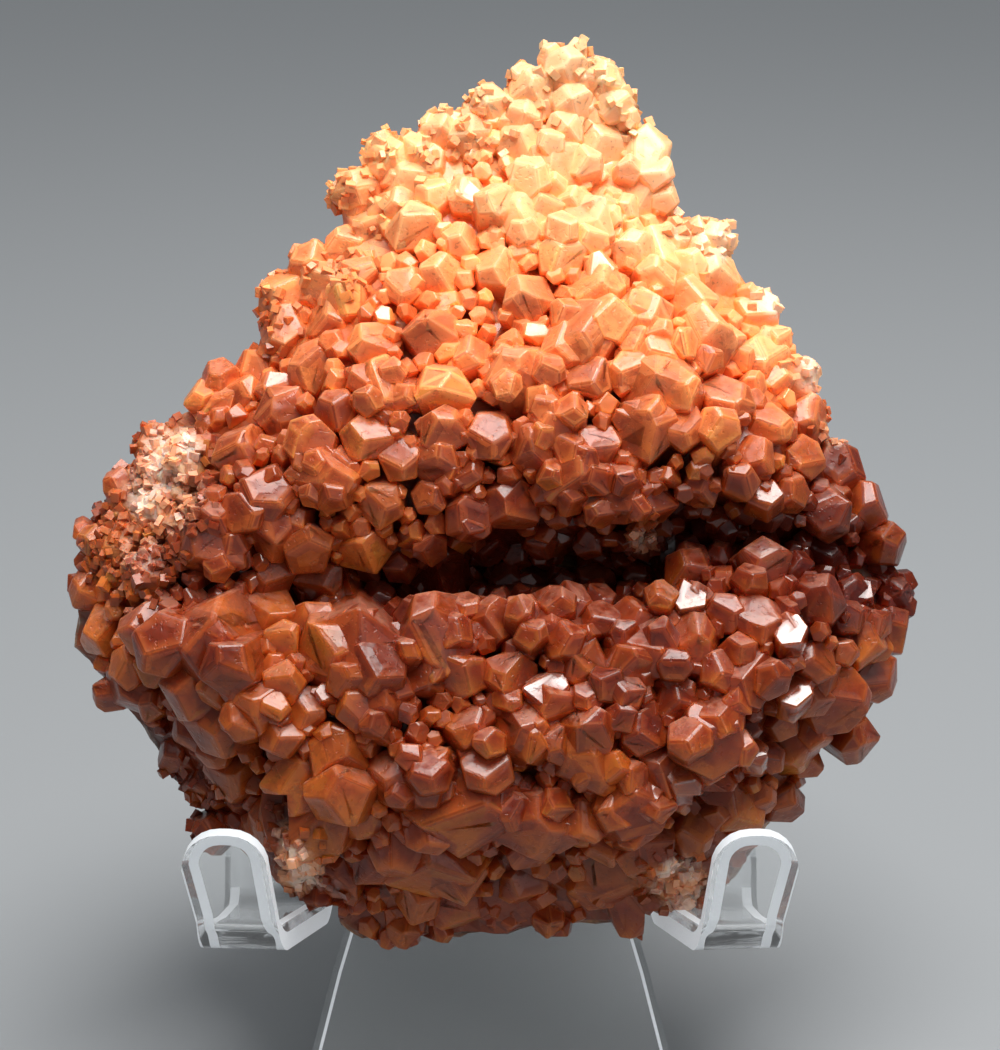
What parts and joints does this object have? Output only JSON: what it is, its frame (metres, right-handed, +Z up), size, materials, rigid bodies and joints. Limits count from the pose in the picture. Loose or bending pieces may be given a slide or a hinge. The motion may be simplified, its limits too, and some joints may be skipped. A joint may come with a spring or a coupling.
{
  "type": "orange calcite cluster on an acrylic easel",
  "caption": "Blocky orange calcite crystal cluster leaning back on a clear bent acrylic display easel with rounded lips.",
  "frame": {"origin": "middle of the level end of the easel's front foot, on the table", "axes": "+Z up, -Y towards the viewer, +X to the right as seen from the front"},
  "size_m": [0.1078, 0.0843, 0.132],
  "materials": {
    "calcite": "satin",
    "acrylic": "gloss"
  },
  "bodies": {
    "root": {"calcite_cluster": "calcite", "acrylic_easel": "acrylic"}
  },
  "joints": []
}
